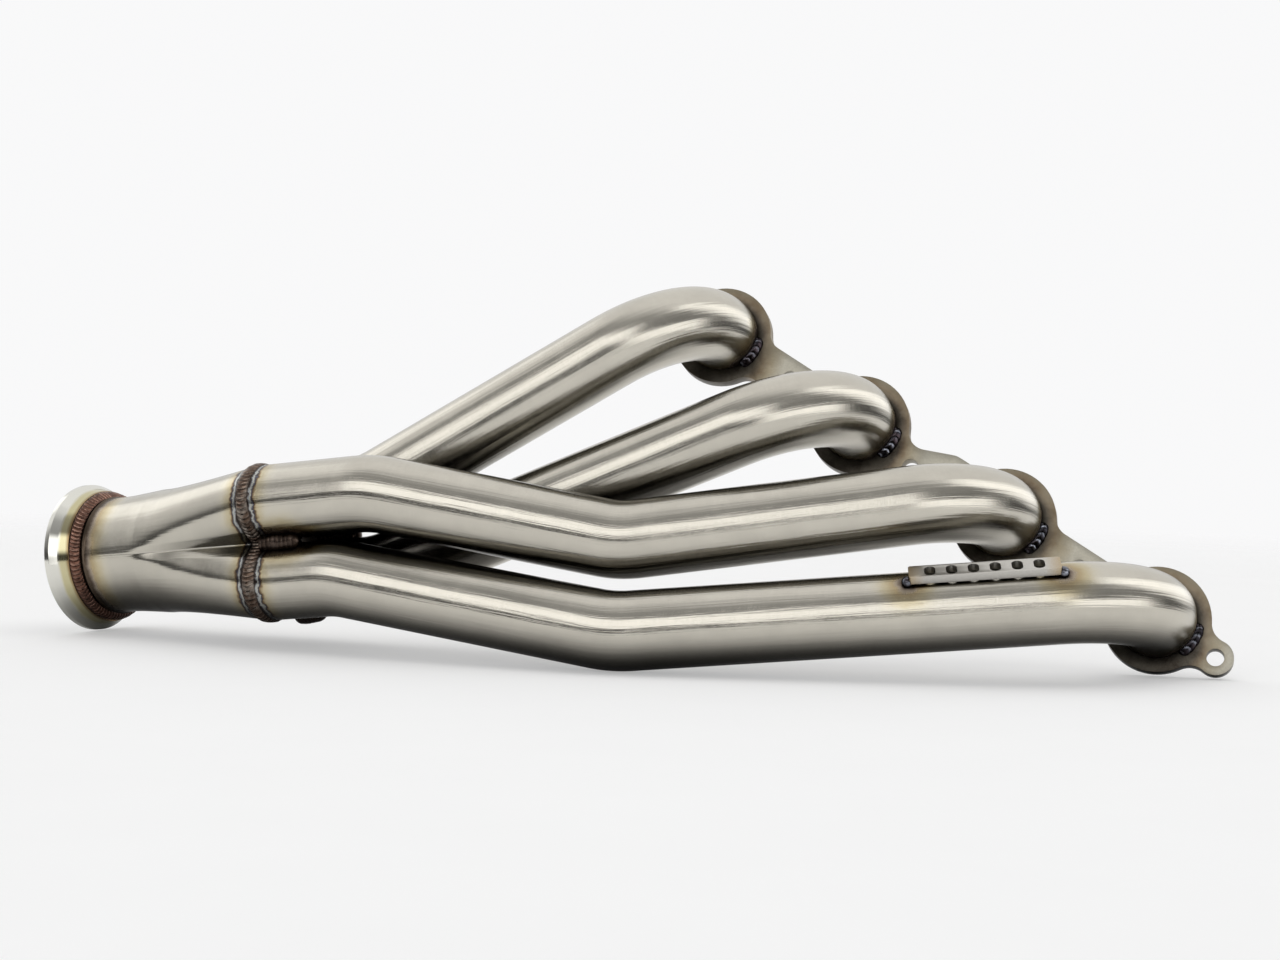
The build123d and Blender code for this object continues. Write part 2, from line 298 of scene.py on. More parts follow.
def swept_tube(number, sides=112):
    """Outer and inner skin of a primary tube, closed at both ends."""
    points, directions = centre_line(tube_route(number), BEND_RADIUS)
    across = unit(PORT_LINE)
    along = travel(points)
    angles = np.linspace(0, 2 * math.pi, sides, endpoint=False)
    rings, flow, frames = [], [], []
    for direction in directions:
        across = unit(across - direction * (across @ direction))
        frames.append((across, np.cross(direction, across)))
    for radius in (TUBE_RADIUS, TUBE_RADIUS - TUBE_WALL):
        for point, (x_axis, y_axis), s in zip(points, frames, along):
            x, y = radius * np.cos(angles), radius * np.sin(angles)
            rings.append(point + x[:, None] * x_axis + y[:, None] * y_axis)
            flow.append(np.stack([np.full(sides, s), x, y], 1))
    return np.concatenate(rings), shell_faces(len(points), sides), np.concatenate(flow)


# ---------------------------------------------------------------- collector outline
span = math.hypot(VALLEY_RADIUS - TUBE_OFFSET, TUBE_OFFSET)
lead = math.sqrt(span ** 2 - TUBE_RADIUS ** 2)
facet_angle = math.atan2(TUBE_OFFSET, TUBE_OFFSET - VALLEY_RADIUS) - math.asin(TUBE_RADIUS / span)
FACET_FOOT = np.array((VALLEY_RADIUS + lead * math.cos(facet_angle), lead * math.sin(facet_angle)))
FACET_STEPS, LOBE_STEPS = 16, 44
LIP_STATION, LIP_HEIGHT, LIP_SPREAD = 23.6, 0.9, 0.8


def turned(points, quarter):
    """Points turned by quarter turns about the collector's axis."""
    for _ in range(quarter):
        points = np.stack([-points[:, 1], points[:, 0]], 1)
    return points


def lobed_ring():
    """Outline round the four tubes, valley to valley, as points."""
    foot, mirrored = FACET_FOOT, FACET_FOOT[::-1]
    first = math.atan2(foot[1] - TUBE_OFFSET, foot[0] - TUBE_OFFSET)
    last = math.atan2(mirrored[1] - TUBE_OFFSET, mirrored[0] - TUBE_OFFSET)
    t = np.arange(FACET_STEPS)[:, None] / FACET_STEPS
    up = np.array((VALLEY_RADIUS, 0.0)) * (1 - t) + foot * t
    angle = first + (last - first) * np.arange(LOBE_STEPS) / LOBE_STEPS
    arc = TUBE_OFFSET + TUBE_RADIUS * np.stack([np.cos(angle), np.sin(angle)], 1)
    down = mirrored * (1 - t) + np.array((0.0, VALLEY_RADIUS)) * t
    quarter = np.concatenate([up, arc, down])
    return np.concatenate([turned(quarter, k) for k in range(4)])


def round_ring(radius):
    """Circle whose points match the lobed outline's one to one."""
    quarter = np.concatenate([
        np.arange(FACET_STEPS) / FACET_STEPS * FACET_END_ANGLE,
        FACET_END_ANGLE + np.arange(LOBE_STEPS) / LOBE_STEPS * (math.pi / 2 - 2 * FACET_END_ANGLE),
        math.pi / 2 - FACET_END_ANGLE + np.arange(FACET_STEPS) / FACET_STEPS * FACET_END_ANGLE,
    ])
    angles = np.concatenate([quarter + k * math.pi / 2 for k in range(4)])
    return radius * np.stack([np.cos(angles), np.sin(angles)], 1)


def softened(ring, times):
    """A closed ring of points with its corners eased."""
    for _ in range(times):
        ring = 0.5 * ring + 0.25 * (np.roll(ring, 1, 0) + np.roll(ring, -1, 0))
    return ring


def ring_normals(ring):
    tangent = np.roll(ring, -1, 0) - np.roll(ring, 1, 0)
    normal = np.stack([tangent[:, 1], -tangent[:, 0]], 1)
    return normal / np.linalg.norm(normal, axis=1)[:, None]


def lift(ring, along):
    """Collector section points to 3-D."""
    along = np.broadcast_to(along, (len(ring),))
    return OUTLET + ring[:, :1] * AXIS_SIDE + ring[:, 1:] * AXIS_UP + along[:, None] * AXIS


def eased_rise(s, start, end, ease):
    """A straight rise from 0 at start to 1 at end, with a rounded foot."""
    full = end - start
    if s < start - ease:
        return 0.0
    if s < start + ease:
        return (s - start + ease) ** 2 / (4 * ease) / full
    return (s - start) / full


def collector_shell():
    """Sheet-metal collector: lobed at the inlet, round at the outlet, with eased creases."""
    lobed, circle = softened(lobed_ring(), 2), round_ring(OUTLET_RADIUS)
    stations = np.concatenate([
        np.linspace(VBAND_LENGTH, 27, 34), np.linspace(28, 48, 14), np.linspace(50, 84, 30),
        np.linspace(86, COLLECTOR_LENGTH, 48)])
    skins = []
    for inset in (0.0, TUBE_WALL):
        for station in stations:
            flare = min(1.0, eased_rise(station, FLARE_START, FLARE_END, 7.0))
            part = eased_rise(station, FLARE_END, COLLECTOR_LENGTH, 10.0)
            growth = 1 + (FLARE_RADIUS / OUTLET_RADIUS - 1) * flare
            lip = LIP_HEIGHT * math.exp(-((station - LIP_STATION) / LIP_SPREAD) ** 2) if inset == 0 else 0.0
            ring = circle * growth * (1 - part) + lobed * part
            skins.append(lift(ring + ring_normals(ring) * (lip - inset), station))
    verts = np.concatenate(skins)
    rel = verts - OUTLET
    angle = np.arctan2(rel @ AXIS_UP, rel @ AXIS_SIDE)
    flow = np.stack([rel @ AXIS, 38 * np.cos(angle), 38 * np.sin(angle)], 1)
    return verts, shell_faces(len(stations), len(circle)), flow


# ---------------------------------------------------------------- weld beads
def ripple(phase, bite):
    """Height factor of overlapping puddles: each rises steeply and sinks under the next."""
    share = phase - np.floor(phase)
    return 1.0 - bite * (1.0 - np.sqrt(np.clip(1.0 - (1.6 * share - 0.6) ** 2, 0, 1)))


def closed_bead(name, node_name, path, perimeter, size, puddles, seed, metal):
    """Bead that closes on itself.

    path: points on the surface, its normals there, and the direction across the bead.
    size: width and height. puddles: pitch, bite between neighbours, and lag of their edges.
    """
    foot, out, side = path
    width, height = size
    pitch, bite, lag = puddles
    skirt = 0.25
    rng = np.random.default_rng(seed)
    count, across = len(foot), 17
    side = np.broadcast_to(side, foot.shape)
    v = np.linspace(-1, 1, across)
    travelled = travel(foot)
    ripples = round(perimeter / pitch)
    u = travelled / (travelled[-1] + np.linalg.norm(foot[0] - foot[-1])) * ripples
    drift = np.zeros(count)
    swell = np.zeros(count)
    for k in range(1, 6):
        drift += rng.normal(0, 0.10) * np.sin(2 * math.pi * k * u / ripples * 3 + rng.uniform(0, 6))
        swell += rng.normal(0, 0.05) * np.sin(2 * math.pi * k * u / ripples * 5 + rng.uniform(0, 6))
    puddle_height = rng.uniform(0.86, 1.0, ripples + 1)
    rows, phases = [], []
    for k in range(count):
        phase = u[k] + drift[k] - lag * (1 - v ** 2)
        crown = (1 - np.abs(v) ** 2.2) ** 0.75
        lump = puddle_height[np.floor(phase).astype(int) % ripples]
        tall = height * crown * ripple(phase, bite) * lump * (1 + swell[k] * 0.4)
        wide = width / 2 * (0.93 + 0.07 * ripple(phase, 0.9)) * (1 + swell[k] * 0.3)
        rows.append(foot[k] + out[k] * tall[:, None] + side[k] * (v * wide)[:, None])
        phases.append(phase)
    hem = (np.array([0.9, -0.9]) * width / 2)[:, None]
    under = [foot[k] - out[k] * skirt + side[k] * hem for k in range(count)]
    grid = [np.concatenate([row, low]) for row, low in zip(rows, under)]
    columns = across + 2
    verts = np.concatenate(grid)
    phase = np.concatenate([np.concatenate([p, [p[-1], p[0]]]) for p in phases])
    lane = np.tile(np.concatenate([v, [1, -1]]), count)
    faces = grid_faces(count, columns, close_rows=True)
    new_piece(name, verts, faces, [node_name], metal, {"ripple_phase": phase, "lane": lane})


def resampled(ring, count):
    """A closed ring with evenly spaced points, and its length."""
    closed = np.concatenate([ring, ring[:1]])
    lengths = travel(closed)
    marks = np.linspace(0, lengths[-1], count, endpoint=False)
    return np.stack([np.interp(marks, lengths, closed[:, k]) for k in range(2)], 1), lengths[-1]


# ---------------------------------------------------------------- materials
class Material:
    """A small helper to build node materials."""

    def __init__(self, name):
        self.material = bpy.data.materials.new(name)
        self.material.use_nodes = True
        self.tree = self.material.node_tree
        self.shader = self.tree.nodes["Principled BSDF"]

    def add(self, kind, settings=None, **inputs):
        """A new node. Inputs go by name, or as i0, i1 and so on by number."""
        node = self.tree.nodes.new("ShaderNode" + kind)
        for key, value in (settings or {}).items():
            setattr(node, key, value)
        for key, value in inputs.items():
            self.connect(node, int(key[1:]) if key[0] == "i" and key[1:].isdigit() else key, value)
        return node

    def connect(self, node, key, value):
        socket = node.inputs[key.replace("_", " ") if isinstance(key, str) else key]
        if isinstance(value, bpy.types.Node):
            value = value.outputs[0]
        if isinstance(value, bpy.types.NodeSocket):
            self.tree.links.new(value, socket)
        else:
            socket.default_value = value

    def math(self, operation, a, b=0.0, clamp=False):
        return self.add("Math", {"operation": operation, "use_clamp": clamp}, i0=a, i1=b)

    def attribute(self, name, vector=False):
        node = self.add("Attribute", {"attribute_name": name})
        return node.outputs["Vector" if vector else "Fac"]

    def ramp(self, value, stops):
        node = self.add("ValToRGB", i0=value)
        elements = node.color_ramp.elements
        while len(elements) < len(stops):
            elements.new(0.5)
        for element, (place, colour) in zip(elements, stops):
            element.position = place
            element.color = (*colour, 1) if len(colour) == 3 else colour
        return node.outputs[0]

    def grey(self, value, stops):
        return self.ramp(value, [(place, (level,) * 3) for place, level in stops])

    def remap(self, value, low, high, to_low, to_high):
        node = self.add("MapRange", i0=value, i1=low, i2=high, i3=to_low, i4=to_high)
        return node.outputs[0]

    def noise(self, vector, scale, detail, roughness):
        node = self.add("TexNoise", Vector=vector, Scale=scale, Detail=detail, Roughness=roughness)
        return node.outputs[0]

    def scaled(self, vector, factors):
        node = self.add("VectorMath", {"operation": "MULTIPLY"}, i0=vector, i1=factors)
        return node.outputs[0]

    def mix(self, factor, a, b, blend="MIX"):
        node = self.tree.nodes.new("ShaderNodeMix")
        node.data_type = "RGBA"
        node.blend_type = blend
        for socket, value in ((node.inputs[0], factor), (node.inputs[6], a), (node.inputs[7], b)):
            if isinstance(value, bpy.types.Node):
                value = value.outputs[0]
            if isinstance(value, bpy.types.NodeSocket):
                self.tree.links.new(value, socket)
            elif isinstance(value, (int, float)):
                socket.default_value = value
            else:
                socket.default_value = (*value, 1)
        return node.outputs[2]

    def bump(self, height, strength, distance):
        return self.add("Bump", Strength=strength, Distance=distance, Height=height).outputs[0]

    def with_painted_shade(self, colour, distance, stops):
        """The colour with painted shade: darkened where something stands close by."""
        shelter = self.add("AmbientOcclusion", {"samples": 6}, Distance=distance).outputs["AO"]
        return self.mix(1.0, colour, self.grey(shelter, stops), "MULTIPLY")

    def finish(self, colour, roughness, normal):
        """A metal of this colour, roughness and bump."""
        self.connect(self.shader, "Base Color", colour)
        self.connect(self.shader, "Roughness", roughness)
        self.connect(self.shader, "Metallic", 1.0)
        self.connect(self.shader, "Normal", normal)
        return self.material


STEEL = (0.625, 0.592, 0.518)
# Heat tint by a weld, as a share of its reach, from burnt brown through straw
HEAT_REACH = 22.0
HEAT_STOPS = [
    (0.00, (0.10, 0.075, 0.055)),
    (0.06, (0.20, 0.16, 0.13)),
    (0.13, (0.36, 0.30, 0.23)),
    (0.24, (0.44, 0.35, 0.21)),
    (0.42, (0.53, 0.46, 0.31)),
    (0.68, (0.61, 0.565, 0.455)),
]
# Beside the collector's inlet weld: a pale bluish band, then a dark line, then straw
BAND_REACH = 6.0
BAND_STOPS = [
    (0.00, (0.04, 0.032, 0.028, 1.0)),
    (0.10, (0.11, 0.095, 0.088, 1.0)),
    (0.24, (0.40, 0.42, 0.43, 1.0)),
    (0.38, (0.46, 0.45, 0.38, 1.0)),
    (0.50, (0.13, 0.13, 0.16, 1.0)),
    (0.60, (0.05, 0.042, 0.045, 1.0)),
    (0.78, (0.22, 0.15, 0.085, 0.95)),
    (1.00, (0.40, 0.31, 0.18, 0.0)),
]


def steel_material(name, base, streaks, roughness, relief):
    """Brushed stainless: satin grain round the tube, soft blotches, heat tint by the welds, painted shade
    where parts stand close.
    """
    m = Material(name)
    flow = m.attribute("flow", vector=True)
    grain_a = m.noise(m.scaled(flow, (3.2, 0.10, 0.10)), 1.0, 4.0, 0.7)
    grain_b = m.noise(m.scaled(flow, (0.9, 0.16, 0.16)), 1.0, 2.0, 0.5)
    blotch = m.noise(m.scaled(flow, (0.045, 0.06, 0.06)), 1.0, 3.0, 0.6)
    fine = m.noise(m.scaled(flow, (0.35, 0.8, 0.8)), 1.0, 3.0, 0.6)
    tone = m.mix(m.remap(blotch, 0.3, 0.7, 0.0, 1.0), [c * 0.93 for c in base], [c * 1.05 for c in base])
    tone = m.mix(m.remap(grain_a, 0.25, 0.75, 0.0, streaks), tone, [c * 0.72 for c in base])
    wobble = m.noise(m.scaled(flow, (0.12, 0.22, 0.22)), 1.0, 3.0, 0.6)
    warped = m.math("ADD", m.attribute("weld_gap"), m.remap(wobble, 0.2, 0.8, -1.6, 1.6))
    share = m.math("DIVIDE", warped, HEAT_REACH, clamp=True)
    tint_ramp = m.ramp(share, HEAT_STOPS + [(1.0, base)])
    far = m.remap(share, 0.55, 1.0, 0.0, 1.0)
    colour = m.mix(far, tint_ramp, tone)
    ragged = m.noise(m.scaled(flow, (0.45, 0.60, 0.60)), 1.0, 2.0, 0.5)
    beside = m.math("ADD", m.attribute("inlet_gap"), m.remap(wobble, 0.2, 0.8, -1.8, 1.8))
    beside = m.math("ADD", beside, m.remap(ragged, 0.25, 0.75, -0.7, 0.7))
    band = m.ramp(m.math("DIVIDE", beside, BAND_REACH, clamp=True), BAND_STOPS)
    colour = m.mix(band.node.outputs["Alpha"], colour, band)
    # Painted shade: the colour is darkened in the gaps between the tubes and where the floor is near
    colour = m.with_painted_shade(colour, 0.05, [(0.0, 0.04), (0.30, 0.30), (0.50, 0.80), (0.66, 1.0)])
    rough = m.math("ADD", m.remap(grain_b, 0.2, 0.8, roughness - 0.03, roughness + 0.03),
                   m.remap(blotch, 0.3, 0.7, -0.03, 0.03))
    rough = m.math("ADD", rough, m.remap(share, 0.0, 0.45, 0.12, 0.0))
    drawn = m.noise(m.scaled(flow, (0.012, 0.42, 0.42)), 1.0, 3.0, 0.6)
    height = m.math("ADD", m.math("MULTIPLY", grain_a, 0.6), m.math("MULTIPLY", fine, 0.4))
    height = m.math("ADD", height, m.math("MULTIPLY", drawn, 2.4))
    m.shader.inputs["Anisotropic"].default_value = 0.75
    m.connect(m.shader, "Tangent", m.add("Tangent", {"direction_type": "UV_MAP", "uv_map": "brush"}))
    return m.finish(colour, rough, m.bump(height, relief, 0.00008))


def weld_material(name, tones, tint, edge, roughness):
    """Weld metal: puddles with dark valleys and patches of another tint.

    tones: colours across one ripple, from its valley over its crest.
    """
    m = Material(name)
    phase = m.attribute("ripple_phase")
    share = m.math("FRACT", phase)
    lane = m.math("ABSOLUTE", m.attribute("lane"))
    where = m.add("TexCoord").outputs["Object"]
    spots = m.noise(where, 260.0, 4.0, 0.6)
    patch = m.noise(where, 90.0, 3.0, 0.6)
    ripple_tone = m.ramp(share, list(zip((0.0, 0.22, 0.55, 0.85, 1.0), tones)))
    tinted = m.mix(m.remap(patch, 0.48, 0.62, 0.0, 0.8), ripple_tone, tint)
    dirty = m.mix(m.remap(spots, 0.42, 0.70, 0.0, 0.75), tinted, tones[0])
    colour = m.mix(m.remap(lane, 0.72, 1.0, 0.0, 0.85), dirty, edge)
    rough = m.remap(spots, 0.2, 0.8, roughness, roughness + 0.2)
    return m.finish(colour, rough, m.bump(spots, 0.5, 0.00020))


inlet_metal = weld_material(
    "brown_weld_bead",
    [(0.035, 0.024, 0.018), (0.08, 0.052, 0.038), (0.17, 0.115, 0.085), (0.30, 0.23, 0.185),
     (0.12, 0.085, 0.065)],
    (0.33, 0.29, 0.25), (0.045, 0.035, 0.03), 0.20)
outlet_metal = weld_material(
    "copper_weld_bead",
    [(0.05, 0.025, 0.018), (0.12, 0.058, 0.04), (0.24, 0.125, 0.09), (0.42, 0.26, 0.20),
     (0.18, 0.09, 0.065)],
    (0.13, 0.075, 0.06), (0.06, 0.035, 0.028), 0.20)
crotch_metal = weld_material(
    "dark_weld_bead",
    [(0.02, 0.014, 0.011), (0.035, 0.023, 0.018), (0.06, 0.042, 0.032), (0.095, 0.07, 0.056),
     (0.04, 0.027, 0.02)],
    (0.08, 0.06, 0.05), (0.02, 0.015, 0.013), 0.20)
# Painted glint: the black bead's crest tone is a bright bluish white on near-black metal
port_metal = weld_material(
    "black_weld_bead",
    [(0.012, 0.010, 0.012), (0.022, 0.020, 0.023), (0.060, 0.056, 0.066), (0.36, 0.38, 0.44),
     (0.035, 0.031, 0.037)],
    (0.07, 0.052, 0.058), (0.014, 0.012, 0.013), 0.10)

tube_steel = steel_material("brushed_tube_steel", STEEL, 0.30, 0.20, 0.9)
collector_steel = steel_material("formed_collector_steel", (0.575, 0.545, 0.475), 0.34, 0.19, 0.5)


# ---------------------------------------------------------------- pieces
def steel_piece(name, shape, node_name, material):
    """A tube or the collector, with its grain direction and its distances to the welds."""
    verts, faces, flow = shape
    new_piece(name, verts, faces, [node_name], material,
              {"flow": flow, "weld_gap": weld_distance(verts), "inlet_gap": inlet_distance(verts)},
              tangent_uv=flow[:, :2] * MM * 2)


for number in range(1, PORT_COUNT + 1):
    verts, faces, flow = swept_tube(number)
    flow = flow + np.array((number * 37.0, number * 11.0, 0.0))
    steel_piece(f"tube_{number}", (verts, faces, flow), f"primary_tube_{number}", tube_steel)
steel_piece("collector", collector_shell(), "collector_body", collector_steel)


def collector_direction(vectors):
    """Directions in the collector's section, in 3-D."""
    return vectors[:, :1] * AXIS_SIDE + vectors[:, 1:] * AXIS_UP


# Weld round the collector's inlet
ring, perimeter = resampled(softened(lobed_ring(), 14), 1600)
out = collector_direction(ring_normals(softened(ring, 30)))
closed_bead("inlet_weld", "collector_inlet_weld", (lift(ring, COLLECTOR_LENGTH), out, AXIS), perimeter,
            (INLET_BEAD_WIDTH, 2.0), (2.9, 0.5, 0.7), 3, inlet_metal)


def ring_round(radius, count):
    angles = np.linspace(0, 2 * math.pi, count, endpoint=False)
    return np.stack([np.cos(angles), np.sin(angles)], 1) * radius


# Weld between the collector and the outlet flange, laid on the corner between them
OUTLET_BEAD_RUN, OUTLET_BEAD_RISE = 6.0, 5.0
ring = ring_round(OUTLET_RADIUS + OUTLET_BEAD_RISE / 2, 1100)
radial = collector_direction(ring_normals(ring))
slope = math.atan2(OUTLET_BEAD_RISE, OUTLET_BEAD_RUN)
out = radial * math.cos(slope) + AXIS * math.sin(slope)
down = AXIS * math.cos(slope) - radial * math.sin(slope)
closed_bead("outlet_weld", "vband_weld", (lift(ring, VBAND_LENGTH + OUTLET_BEAD_RUN / 2), out, down),
            2 * math.pi * OUTLET_RADIUS, (7.6, 1.5), (2.6, 0.5, 0.5), 5, outlet_metal)


def corner_bead(name, node_name, frames, pitch, bite, seed, closed=False):
    """Bead laid in a corner. frames: (corner, leg direction a, leg direction b, leg) stations."""
    rng = np.random.default_rng(seed)
    count, across, lag = len(frames), 13, 0.6
    v = np.linspace(0, 1, across)
    rows, phases = [], []
    travelled = travel(np.array([corner for corner, _, _, _ in frames]))
    total = travelled[-1]
    ripples = max(1, round(total / pitch))
    for k, (corner, leg_a, leg_b, leg) in enumerate(frames):
        u = travelled[k] / total * ripples
        end = 1.0
        if not closed:
            near = min(travelled[k], total - travelled[k]) / (0.9 * leg)
            end = math.sqrt(max(1e-4, 1 - (1 - min(1, near)) ** 2))
        phase = u - lag * 4 * v * (1 - v)
        angle = v * math.pi / 2
        bulge = 1 + 0.16 * np.sin(2 * angle)
        tall = leg * end * bulge * (0.80 + 0.20 * ripple(phase, bite * 1.6)) * rng.uniform(0.995, 1.005)
        tall = tall * (0.72 + 0.28 * np.cos(2 * angle) ** 2)
        a, b = np.cos(angle) * tall, np.sin(angle) * tall
        rows.append(corner + a[:, None] * leg_a + b[:, None] * leg_b)
        phases.append(phase)
    columns = across + 1
    grid = [np.concatenate([row, corner[None]]) for row, (corner, _, _, _) in zip(rows, frames)]
    verts = np.concatenate(grid)
    phase = np.concatenate([np.append(p, p[-1]) for p in phases])
    lane = np.tile(np.append(2 * v - 1, 1.0), count)
    faces = grid_faces(count, columns, close_rows=closed)
    if not closed:
        faces += end_caps(count, columns)
    new_piece(name, verts, faces, [node_name], port_metal,
              {"ripple_phase": phase, "lane": lane})


STITCH_STEPS, SEAL_STEPS = 120, 360
SEAL_LEG = 2.0
for number in range(1, PORT_COUNT + 1):
    frames = []
    for k in range(STITCH_STEPS + 1):
        out = port_outward(STITCH_START + STITCH_SWEEP * k / STITCH_STEPS)
        frames.append((port_point(number, -0.1) + out * (TUBE_RADIUS - 0.1), out, PORT_EXIT, STITCH_LEG))
    corner_bead(f"port_stitch_{number}", f"port_stitch_weld_{number}", frames, 4.1, 0.55, 10 + number)
    tube_end = port_point(number, TUBE_RECESS - FLANGE_THICKNESS)
    frames = []
    for k in range(SEAL_STEPS):
        out = port_outward(2 * math.pi * k / SEAL_STEPS)
        frames.append((tube_end + out * TUBE_RADIUS, -out, -PORT_EXIT, SEAL_LEG))
    corner_bead(f"port_seal_{number}", f"port_inner_weld_{number}", frames, 3.4, 0.4, 20 + number,
                closed=True)

# Welds that fill the crotches between the tubes
CROTCH_SIDES, CROTCH_OVERLAP, CROTCH_SINK = 48, 0.8, 0.8
for place, (side, level, offset, bead_radius, bead_length) in CROTCHES.items():
    across = AXIS_SIDE * side + AXIS_UP * level
    around = np.cross(AXIS, across)
    bead_start = COLLECTOR_LENGTH + INLET_BEAD_WIDTH / 2 - CROTCH_OVERLAP
    start = collector_point(side * offset, level * offset, bead_start)
    rings, phases = [], []
    length = bead_length + CROTCH_OVERLAP
    marks = np.linspace(0, 1, 90)
    angles = np.linspace(0, 2 * math.pi, CROTCH_SIDES, endpoint=False)
    for t in marks:
        s = length * t
        tip = max(0.0, s - (length - bead_radius)) / bead_radius
        radius = bead_radius * math.sqrt(max(0.0, 1 - tip ** 2))
        phase = s / 3.2 - 0.7 * np.cos(angles)
        r = radius * (0.95 + 0.05 * ripple(phase, 0.9)) * (0.96 + 0.03 * np.sin(3 * angles + s * 0.4))
        rings.append(start + AXIS * s + (r * np.cos(angles))[:, None] * across
                     + (r * np.sin(angles))[:, None] * around)
        phases.append(phase)
    verts = np.concatenate(rings)
    # Where the bead meets a tube, it stops inside the tube's wall
    for seat_side, seat_level in SEAT.values():
        centre = np.array((seat_side * TUBE_OFFSET, seat_level * TUBE_OFFSET))
        rel = verts - OUTLET
        local = np.stack([rel @ AXIS_SIDE, rel @ AXIS_UP], 1) - centre
        reach = np.linalg.norm(local, axis=1)
        keep = TUBE_RADIUS - CROTCH_SINK
        push = np.where(reach < keep, keep / np.maximum(reach, 1e-6) - 1, 0)[:, None] * local
        verts = verts + push[:, :1] * AXIS_SIDE + push[:, 1:] * AXIS_UP
    faces = grid_faces(len(marks), CROTCH_SIDES) + end_caps(len(marks), CROTCH_SIDES)
    new_piece(f"crotch_{place}", verts, faces, [f"crotch_weld_{place}"], crotch_metal,
              {"ripple_phase": np.concatenate(phases), "lane": np.zeros(len(verts))})


# ---------------------------------------------------------------- outlet flange
def rounded_profile(corners, radii):
    """A closed profile with its corners rounded."""
    done, steps = [], 5
    for index, (corner, radius) in enumerate(zip(corners, radii)):
        corner = np.array(corner, float)
        before = unit(np.array(corners[index - 1], float) - corner)
        after = unit(np.array(corners[(index + 1) % len(corners)], float) - corner)
        half = math.acos(np.clip(before @ after, -1, 1)) / 2
        lead = radius / math.tan(half)
        for k in range(steps + 1):
            t = k / steps
            a, b = corner + before * lead, corner + after * lead
            done.append((1 - t) ** 2 * a + 2 * t * (1 - t) * corner + t ** 2 * b)
    return done


# Section of the outlet flange: radius and distance from its mating face
profile = rounded_profile(
    [(36.45, 1.6), (42.0, 1.6), (42.0, 0.0), (48.0, 0.0), (48.5, 0.5), (48.5, 3.8), (45.2, 8.4),
     (43.4, 15.95), (36.45, 15.95)],
    [0.3, 0.2, 0.35, 0.2, 0.2, 0.35, 0.5, 0.25, 0.3])
SIDES = 240
verts = np.concatenate([lift(ring_round(radius, SIDES), along) for radius, along in profile])
faces = grid_faces(len(profile), SIDES, close_rows=True)
rel = verts - OUTLET
angle = np.arctan2(rel @ AXIS_UP, rel @ AXIS_SIDE)
distance = np.hypot(rel @ AXIS_UP, rel @ AXIS_SIDE)
flow = np.stack([rel @ AXIS, distance, angle * 40], 1)

m = Material("polished_outlet_steel")
around = m.attribute("flow", vector=True)
turning = m.noise(m.scaled(around, (6.0, 6.0, 0.02)), 1.0, 3.0, 0.6)
smear = m.noise(m.scaled(around, (0.2, 0.2, 0.05)), 1.0, 3.0, 0.6)
axial = m.add("SeparateXYZ", i0=around).outputs[0]
warmth = m.remap(m.math("ADD", axial, m.remap(smear, 0.2, 0.8, -1.2, 1.2)), 7.6, 10.5, 0.0, 1.0)
colour = m.mix(warmth, (0.76, 0.75, 0.69), (0.60, 0.55, 0.34))
burnt = m.remap(m.math("ADD", axial, m.remap(smear, 0.2, 0.8, -0.8, 0.8)), 13.6, 15.6, 0.0, 1.0)
colour = m.mix(burnt, colour, (0.30, 0.20, 0.10))
rough = m.remap(turning, 0.2, 0.8, 0.05, 0.14)
polished = m.finish(colour, rough, m.bump(turning, 0.15, 0.00002))
new_piece("outlet_flange", verts, faces, ["vband_flange"], polished, {"flow": flow})


# ---------------------------------------------------------------- flange plate and nameplate
def bevelled_copy(name, node_name, material, width):
    """The CAD node's own shape with its sharp edges broken."""
    work = bmesh.new()
    work.from_mesh(nodes[node_name].data)
    bmesh.ops.remove_doubles(work, verts=work.verts, dist=1e-6)
    bmesh.ops.dissolve_limit(work, angle_limit=math.radians(1), verts=work.verts, edges=work.edges)
    sharp = [e for e in work.edges if len(e.link_faces) == 2 and e.calc_face_angle(0) > math.radians(50)]
    bmesh.ops.bevel(work, geom=sharp, offset=width * MM, segments=2, profile=0.6, affect="EDGES",
                    clamp_overlap=True)
    bmesh.ops.triangulate(work, faces=[f for f in work.faces if len(f.verts) > 4])
    mesh = bpy.data.meshes.new(name)
    work.to_mesh(mesh)
    work.free()
    mesh.materials.clear()
    mesh.materials.append(material)
    mesh.polygons.foreach_set("use_smooth", [True] * len(mesh.polygons))
    mesh.set_sharp_from_angle(angle=math.radians(32))
    obj = bpy.data.objects.new(name, mesh)
    bpy.context.scene.collection.objects.link(obj)
    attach(obj, "root")
    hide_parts(node_name)


def dot_from(m, where, origin, direction):
    """How far along a direction a place lies, from an origin given in mm."""
    local = m.add("VectorMath", {"operation": "SUBTRACT"}, i0=where, i1=tuple(origin * MM)).outputs[0]
    return m.add("VectorMath", {"operation": "DOT_PRODUCT"}, i0=local, i1=tuple(direction)).outputs["Value"]


m = Material("flange_plate_steel")
where = m.add("TexCoord").outputs["Object"]
line = dot_from(m, where, PORT_1, PORT_LINE)
rise = dot_from(m, where, PORT_1, PORT_UP)
# Distance to the nearest port's axis
nearest = m.math("ROUND", m.math("DIVIDE", line, PORT_SPACING * MM))
nearest = m.math("MINIMUM", m.math("MAXIMUM", nearest, 0.0), PORT_COUNT - 1.0)
from_port = m.math("SUBTRACT", line, m.math("MULTIPLY", nearest, PORT_SPACING * MM))
radial = m.math("ADD", m.math("MULTIPLY", from_port, from_port), m.math("MULTIPLY", rise, rise))
radial = m.math("SQRT", radial)
cloud = m.noise(where, 55.0, 4.0, 0.6)
grit = m.noise(where, 900.0, 3.0, 0.7)
# Painted shadow: the dark band is widened on one side of each port
toward = m.math("DIVIDE", from_port, m.math("MAXIMUM", radial, 0.001))
gap = m.math("SUBTRACT", m.math("SUBTRACT", radial, TUBE_RADIUS * MM), m.remap(toward, 0.3, 1.0, 0.0, 0.004))
